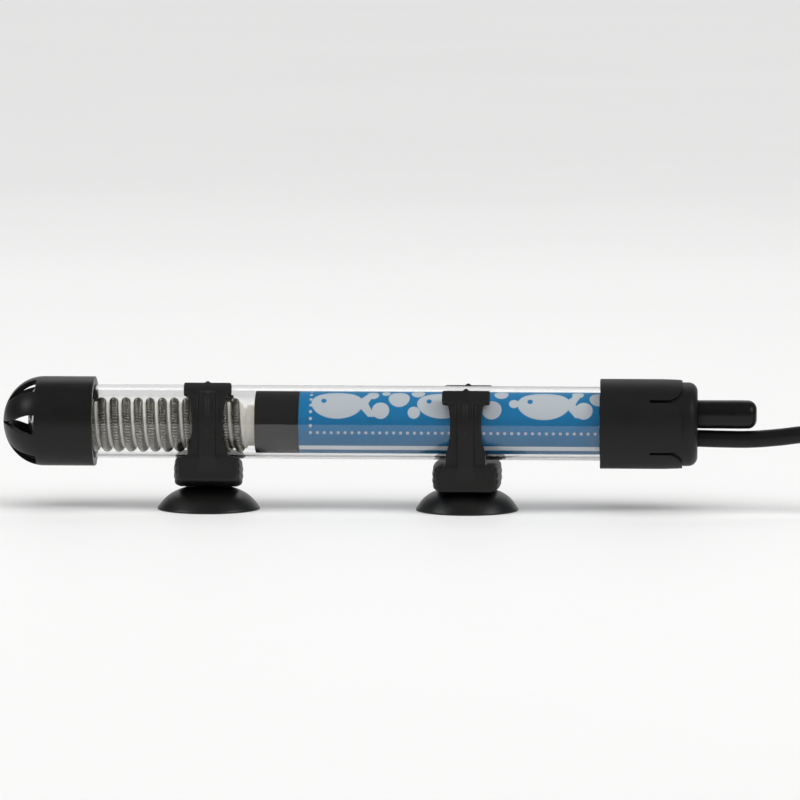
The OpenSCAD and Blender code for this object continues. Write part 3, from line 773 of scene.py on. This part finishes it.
board = Finish("bonded_board")
board_fibre = board.mottle(0.5 * mm, 4, (0.3, 1, 1))
carry(board.coat(
    Base_Color=board_fibre.tint((0.2, 0.1, 0.035), (0.34, 0.19, 0.08)),
    Roughness=0.4 + 0.2 * board_fibre,
    Normal=board.bump(board_fibre, 0.02 * mm),
), "mounting_board")
insulator = Finish("insulator")
insulator_cloud = insulator.mottle(0.8 * mm, 4)
carry(insulator.coat(
    Base_Color=insulator_cloud.tint((0.62, 0.56, 0.42), (0.78, 0.73, 0.6)),
    Roughness=0.5 + 0.2 * insulator_cloud,
    Normal=insulator.bump(insulator_cloud, 0.02 * mm),
), "clamp_spacers")
carry(metal("rolled_brass", (0.5, 0.34, 0.12), (0.68, 0.5, 0.22), 0.25),
      "clamp_rivets", "adjusting_nut", "contact_arm")
carry(metal("bimetal", (0.36, 0.33, 0.29), (0.5, 0.46, 0.4), 0.3), "bimetal_strip")
carry(metal("contact_silver", (0.66, 0.66, 0.64), (0.82, 0.82, 0.8), 0.2, (1, 1, 1)),
      "moving_contact", "fixed_contact")
carry(metal("sintered_magnet", (0.06, 0.06, 0.065), (0.12, 0.12, 0.125), 0.45, (1, 1, 1)),
      "snap_magnet")
carry(metal("tinned_wire", (0.48, 0.48, 0.47), (0.66, 0.66, 0.64), 0.28),
      "lead_wires", "crimp_terminals")
carry(metal("turned_steel", (0.4, 0.4, 0.4), (0.56, 0.56, 0.56), 0.25, (1, 0.1, 0.1)),
      "adjusting_spindle")
core_cover = Finish("core_insulation")
core_cover_cloud = core_cover.mottle(2 * mm, 2)
carry(core_cover.coat(
    Base_Color=core_cover_cloud.tint((0.16, 0.055, 0.02), (0.24, 0.09, 0.035)),
    Roughness=0.4 + 0.1 * core_cover_cloud,
    Normal=core_cover.bump(core_cover_cloud, 0.02 * mm),
), "cord_cores")


# ---- Bung and seals ----
# A soft rubber bung closes the tube. The cord and the spindle pass through it, and two
# O-rings keep the water out round the spindle.
carry(black_moulding("bung_rubber", (0.006, 0.006, 0.0058), 0.45, 0.3 * mm, 0.02 * mm, 0.2),
      "sealing_bung")
carry(black_moulding("seal_rubber", (0.015, 0.015, 0.015), 0.35, 0.2 * mm, 0.01 * mm),
      "spindle_seals")


# ---- End guard ----
# A black nylon cap pressed on the closed end. Six slots widen away from its nose and let water
# through to the glass. Its rim carries a trace of moulding flash.
def slotted_shell(rows, columns, outer, inner, is_open, nose=False):
    """Points and faces of a thick turned shell. outer and inner give the point at a row and a
    column, is_open says which cells are cut away, and every edge of the rest gets a wall."""
    points = [skin(i, j) for skin in (outer, inner)
              for i in range(rows) for j in range(columns)]
    inside = rows * columns
    solid = {(i, j) for i in range(rows - 1) for j in range(columns) if not is_open(i, j)}
    faces = []
    for i, j in sorted(solid):
        a = i * columns + j
        b = i * columns + (j + 1) % columns
        c = b + columns
        d = a + columns
        faces.append((a, b, c, d))
        faces.append((a + inside, d + inside, c + inside, b + inside))
        sides = {(i, (j - 1) % columns): (a, d), (i, (j + 1) % columns): (c, b),
                 (i - 1, j): (b, a), (i + 1, j): (d, c)}
        for cell, (first, last) in sides.items():
            if cell not in solid and not (nose and cell[0] < 0):
                faces.append((first, last, last + inside, first + inside))
    if nose:
        faces.append(tuple(range(columns)))
        faces.append(tuple(range(inside, inside + columns)))
    return points, faces


def ease_edges(made, width, angle=35, segments=2):
    """Rounds a piece's edges and evens its shading."""
    edges = made.modifiers.new("eased_edges", "BEVEL")
    edges.width = width
    edges.segments = segments
    edges.limit_method = "ANGLE"
    edges.angle_limit = math.radians(angle)
    edges.miter_outer = "MITER_ARC"
    made.modifiers.new("even_shading", "WEIGHTED_NORMAL")


guard_low, guard_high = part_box("end_guard")
guard_r = (guard_high.z - guard_low.z) / 2
guard_dome = 13.4 * mm
guard_wall = 1.7 * mm
slot_count = 6
slot_end = 11.2 * mm
slot_cols = 8
rib_cols = 12
nose_angle = math.asin(1.7 * mm / guard_r)
end_angle = math.acos(1 - slot_end / guard_dome)
dome_angles = [0.02, 0.06, *np.linspace(nose_angle, end_angle, 30), 1.46, 1.515, math.pi / 2]
rim_places = np.linspace(guard_dome, guard_high.x - guard_low.x, 12)[1:]


def guard_row(i, wall):
    """Place along the axis and radius of a row, on the outside or a wall's depth inside."""
    if i < len(dome_angles):
        a = dome_angles[i]
        return wall + (guard_dome - wall) * (1 - math.cos(a)), (guard_r - wall) * math.sin(a)
    return rim_places[i - len(dome_angles)], guard_r - wall


def slot_half_angle(i, r):
    """Half the angle that a slot takes up at a row of the guard."""
    place = min(max(guard_row(i, 0)[0], guard_row(2, 0)[0]), slot_end) / mm
    half = np.interp(place, [0, 1.6, 3.2, 5.2, 7.4, 9.4], [0.4, 0.4, 1.02, 1.92, 2.67, 3.1])
    return half * mm / max(r, 1.7 * mm)


def guard_point(i, j, wall):
    place, r = guard_row(i, wall)
    if wall and place > 14 * mm:
        r = glass_r + 0.05 * mm + max(0.0, (22 * mm - place) * 0.08)
        r = min(r, guard_r - wall)
    sector, step = divmod(j, slot_cols + rib_cols)
    half = slot_half_angle(i, r if i < len(dome_angles) else guard_r)
    if step <= slot_cols:
        turn = -half + 2 * half * step / slot_cols
    else:
        turn = half + (2 * math.pi / slot_count - 2 * half) * (step - slot_cols) / rib_cols
    turn += 2 * math.pi * sector / slot_count
    flash = 0.0
    if i == len(dome_angles) + len(rim_places) - 1:
        flash = 0.22 * mm * max(0, noise.noise(Vector((3 * math.cos(turn), 3 * math.sin(turn), 2))))
    return (guard_low.x + place + flash, -r * math.cos(turn), axis_z + r * math.sin(turn))


guard = piece("slotted_guard", *slotted_shell(
    len(dome_angles) + len(rim_places), slot_count * (slot_cols + rib_cols),
    lambda i, j: guard_point(i, j, 0), lambda i, j: guard_point(i, j, guard_wall),
    lambda i, j: 2 <= i < 31 and j % (slot_cols + rib_cols) < slot_cols, nose=True,
), black_moulding("guard_nylon", (0.0055, 0.0055, 0.0053), 0.36, 0.35 * mm, 0.012 * mm, 0.3),
    "heater", "guard_plastic")
ease_edges(guard, 0.22 * mm)
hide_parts("end_guard")


# ---- Head collar ----
# A black nylon collar grips the end of the glass. Its five petals close over the bung, with a
# slit between each two that flares round their corners.
collar_low, collar_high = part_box("head_collar")
collar_r = (collar_high.z - collar_low.z) / 2
collar_len = collar_high.x - collar_low.x
bung_r = 13.6 * mm
petal_count = 5
flare_from = 21.6 * mm
gap_half = 0.5 * mm
corner_w = 6.4 * mm
gap_cols = 12
petal_cols = 18
flare_angles = np.linspace(0, math.pi / 2, 15)
collar_places = [0, 0.5, *np.linspace(1.4, 15.2, 14), 15.8, 16.1, *np.linspace(17, 21, 6)]
collar_places = [p * mm for p in collar_places]
collar_places += [flare_from + (collar_len - flare_from) * math.sin(a) for a in flare_angles[:-1]]
collar_places.append(collar_len)


def gap_width(place):
    """Half the width of the opening between two petals."""
    share = min(max((place - flare_from) / (collar_len - flare_from), 0), 1)
    return gap_half + corner_w * (1 - math.sqrt(1 - min(share, 0.998) ** 2))


def collar_point(i, j, inside):
    place = collar_places[i]
    r = collar_r
    if inside:
        step_in = min(max((place - 21.9 * mm) / (0.2 * mm), 0), 1)
        r = glass_r + 0.05 * mm + step_in * (bung_r - glass_r)
    half = gap_width(place) / collar_r
    sector, step = divmod(j, gap_cols + petal_cols)
    if step <= gap_cols:
        turn = -half + 2 * half * step / gap_cols
    else:
        turn = half + (2 * math.pi / petal_count - 2 * half) * (step - gap_cols) / petal_cols
    turn += 2 * math.pi * (sector + 0.5) / petal_count
    ragged = 0.0
    if i == 0:
        ragged = 0.3 * mm * noise.noise(Vector((7 * math.cos(turn), 7 * math.sin(turn), 5)))
    if not inside:
        r -= 0.25 * mm * max(0, (place - 19 * mm) / (collar_len - 19 * mm)) ** 2
    return (collar_low.x + place + ragged, -r * math.cos(turn), axis_z + r * math.sin(turn))


collar_rows = len(collar_places)
gap_row = 17
collar = piece("petal_collar", *slotted_shell(
    collar_rows, petal_count * (gap_cols + petal_cols),
    lambda i, j: collar_point(i, j, False), lambda i, j: collar_point(i, j, True),
    lambda i, j: i >= gap_row and j % (gap_cols + petal_cols) < gap_cols,
), black_moulding("collar_nylon", (0.006, 0.006, 0.006), 0.5, 0.22 * mm, 0.03 * mm, 0.3),
    "heater", "collar_plastic")
ease_edges(collar, 0.2 * mm)
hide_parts("head_collar")


# ---- Temperature knob ----
# A smooth black stem turned by finger. It is pressed on the spindle, a hair clear of the bung.
knob_low, knob_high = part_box("temperature_knob")
knob_r = (knob_high.z - knob_low.z) / 2
knob_z = (knob_high.z + knob_low.z) / 2
knob_outline = eased([
    (knob_low.x - 0.3 * mm, 0, 0), (knob_low.x - 0.3 * mm, knob_r - 0.05 * mm, 0.1 * mm),
    (knob_high.x - 5 * mm, knob_r, 0), (knob_high.x, knob_r - 0.1 * mm, 2.9 * mm),
    (knob_high.x, 0, 0),
], 10)
knob = piece("knob_stem", *turned(knob_outline, (0, 0, knob_z)),
             black_moulding("knob_nylon", (0.005, 0.005, 0.0048), 0.3, 0.3 * mm, 0.008 * mm),
             "knob", "knob_plastic")
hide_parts("temperature_knob")


# ---- Clips ----
# Springy black rubber clips that snap over the tube. Each has a T-shaped tip, a raised rib, a
# fine parting line down its middle, and a base with finger grips at both ends. The left one is
# pushed a little askew, and the near side of its base is lifted.
def bar(start, end, half_x, thick):
    """Corners and faces of a thin bar in the plane across the tube."""
    start, end = Vector(start), Vector(end)
    side = Vector((0, start.z - end.z, end.y - start.y)).normalized() * thick / 2
    corners = [spot + x * Vector((half_x, 0, 0)) + s * side
               for spot in (start, end) for x in (-1, 1) for s in (-1, 1)]
    return corners, [(0, 1, 3, 2), (4, 6, 7, 5), (0, 4, 5, 1), (2, 3, 7, 6), (0, 2, 6, 4),
                     (1, 5, 7, 3)]


clip_rubber = black_moulding("clip_rubber", (0.0075, 0.0075, 0.0072), 0.46, 0.3 * mm, 0.02 * mm,
                             0.3, 0.24)
rib_r = 15.2 * mm
nub_r = 14.3 * mm
parting_half = 0.3 * mm
parting_high = 0.8 * mm
arm_reach = {"left": (66, 38), "right": (52, 52)}     # degrees: near arm, far arm
askew = {"left": 0.05, "right": 0.0}                  # how far it leans along X, per distance
lift = {"left": 3.1 * mm, "right": 0.0}               # of the near edge of the base
lift_top = axis_z - 2 * mm
lift_fade = 10.8 * mm
saddle_r = 12.4 * mm
saddle_fade = 3.5 * mm
base_half = 14.2 * mm
base_fade = 5 * mm
saddle_low = axis_z - 12.8 * mm
grip_from = 6.8 * mm
grip_half = 4.2 * mm


def knitted(name, work, voxel, rounds):
    """A mesh of even voxels round what is in work, smoothed a number of rounds."""
    mesh = bpy.data.meshes.new(name)
    work.to_mesh(mesh)
    work.free()
    made = bpy.data.objects.new(name, mesh)
    bpy.context.scene.collection.objects.link(made)
    knit = made.modifiers.new("knit", "REMESH")
    knit.mode = "VOXEL"
    knit.voxel_size = voxel
    soften = made.modifiers.new("soften", "SMOOTH")
    soften.factor = 0.5
    soften.iterations = rounds
    made.data = bpy.data.meshes.new_from_object(made.evaluated_get(
        bpy.context.evaluated_depsgraph_get()))
    made.modifiers.clear()
    return made


for side in ("left", "right"):
    low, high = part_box(f"{side}_clip")
    middle_x = (low.x + high.x) / 2
    work = bmesh.new()
    work.from_mesh(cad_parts[f"{side}_clip"].data)
    bmesh.ops.remove_doubles(work, verts=work.verts, dist=0.001 * mm)
    rough = knitted(f"{side}_clip_body_shape", work, 0.36 * mm, 4)
    work = bmesh.new()
    work.from_mesh(rough.data)
    bpy.data.objects.remove(rough)
    for vert in work.verts:
        out = abs(vert.co.y) - base_half
        if out > 0 and vert.co.z < saddle_low:
            fade = max(0.0, 1 - (saddle_low - vert.co.z) / base_fade)
            vert.co.y = math.copysign(base_half + out * fade, vert.co.y)
        if abs(vert.co.x - middle_x) > grip_from and vert.co.z < saddle_low + 0.4 * mm:
            from_middle = abs(vert.co.z - saddle_low + grip_half) / grip_half
            from_side = abs(vert.co.y) / base_half
            pull = 0.13 * from_middle ** 5 + 0.07 * from_side ** 2 + 0.06 * from_side ** 8
            vert.co.x = middle_x + (vert.co.x - middle_x) * (1 - pull)
    for face_side, reach in zip((-1, 1), arm_reach[side]):
        tip_angle = math.radians(reach)
        angles = np.linspace(-0.65, tip_angle - 0.38, 18)
        line = [(middle_x, face_side * (rib_r + 0.1 * mm) * math.cos(a),
                 axis_z + (rib_r + 0.1 * mm) * math.sin(a)) for a in angles]
        for start, end in zip(line, line[1:]):
            corners, faces = bar(start, end, parting_half, parting_high)
            made = [work.verts.new(c) for c in corners]
            for corner_ids in faces:
                work.faces.new([made[k] for k in corner_ids])
        nub = Vector((middle_x, face_side * nub_r * math.cos(tip_angle),
                      axis_z + nub_r * math.sin(tip_angle)))
        bmesh.ops.create_icosphere(work, subdivisions=2, radius=0.9 * mm,
                                   matrix=Matrix.Translation(nub))
    for vert in work.verts:
        vert.co.x -= askew[side] * vert.co.y
        near = min(max(-vert.co.y / base_half, 0), 1)
        below = min(max((lift_top - vert.co.z) / lift_fade, 0), 1)
        outside = math.hypot(vert.co.y, vert.co.z - axis_z) - saddle_r
        outside = min(max(outside / saddle_fade, 0), 1)
        vert.co.z += lift[side] * near * near * (3 - 2 * near) * below * outside
    clip = knitted(f"{side}_tube_clip", work, 0.34 * mm, 2)
    clip.data.polygons.foreach_set("use_smooth", [True] * len(clip.data.polygons))
    clip.data.materials.clear()
    clip.data.materials.append(clip_rubber)
    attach(clip, f"{side}_clip_body")
    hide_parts(f"{side}_clip")


# ---- Suction cups ----
# Glossy soft rubber cups, moulded in one piece with a stem and a button that sits in the
# clip's keyhole. The thin lip lies flat on the table.
cup_rubber = black_moulding("cup_rubber", (0.005, 0.005, 0.0048), 0.34, 0.5 * mm, 0.01 * mm, 0.3,
                            0.5)
base_under = axis_z - 21.2 * mm
for side, dome_h, neck_r_cup in (("left", 7.1, 7.4), ("right", 6.9, 8.6)):
    low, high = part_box(f"{side}_suction_cup")
    rim_r = (high.x - low.x) / 2
    centre = Vector(((low.x + high.x) / 2, 0, 0))
    hollow_r = rim_r - 1.4 * mm
    hollow_h = 3.6 * mm
    under = [(hollow_h * (1 - (t * t)), hollow_r * t) for t in np.linspace(0, 1, 16)]
    lip = 0.5 * mm
    bulge = 0.8 * mm
    flank = [(lip + (dome_h * mm - lip) * t + bulge * math.sin(math.pi * t),
              rim_r + (neck_r_cup * mm - rim_r) * t + bulge * math.sin(math.pi * t))
             for t in np.linspace(0, 1, 22)]
    head_z = high.z
    outline = under + eased([
        (0.05 * mm, hollow_r + 0.1 * mm, 0), (0.02 * mm, rim_r - 0.25 * mm, 0),
        (0.2 * mm, rim_r, 0)]) + flank + eased([
            (dome_h * mm + 0.1 * mm, 3.6 * mm, 0), (base_under + 0.4 * mm, 3.0 * mm, 0),
            (head_z - 2.4 * mm, 3.0 * mm, 0.1 * mm), (head_z - 2.4 * mm, 5.4 * mm, 0.5 * mm),
            (head_z, 5.4 * mm, 0.6 * mm), (head_z, 0, 0)], 4)
    cup = piece(f"{side}_cup", *turned(outline, centre, "Z", 112), cup_rubber,
                f"{side}_cup_body", "cup_rubber")
    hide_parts(f"{side}_suction_cup")
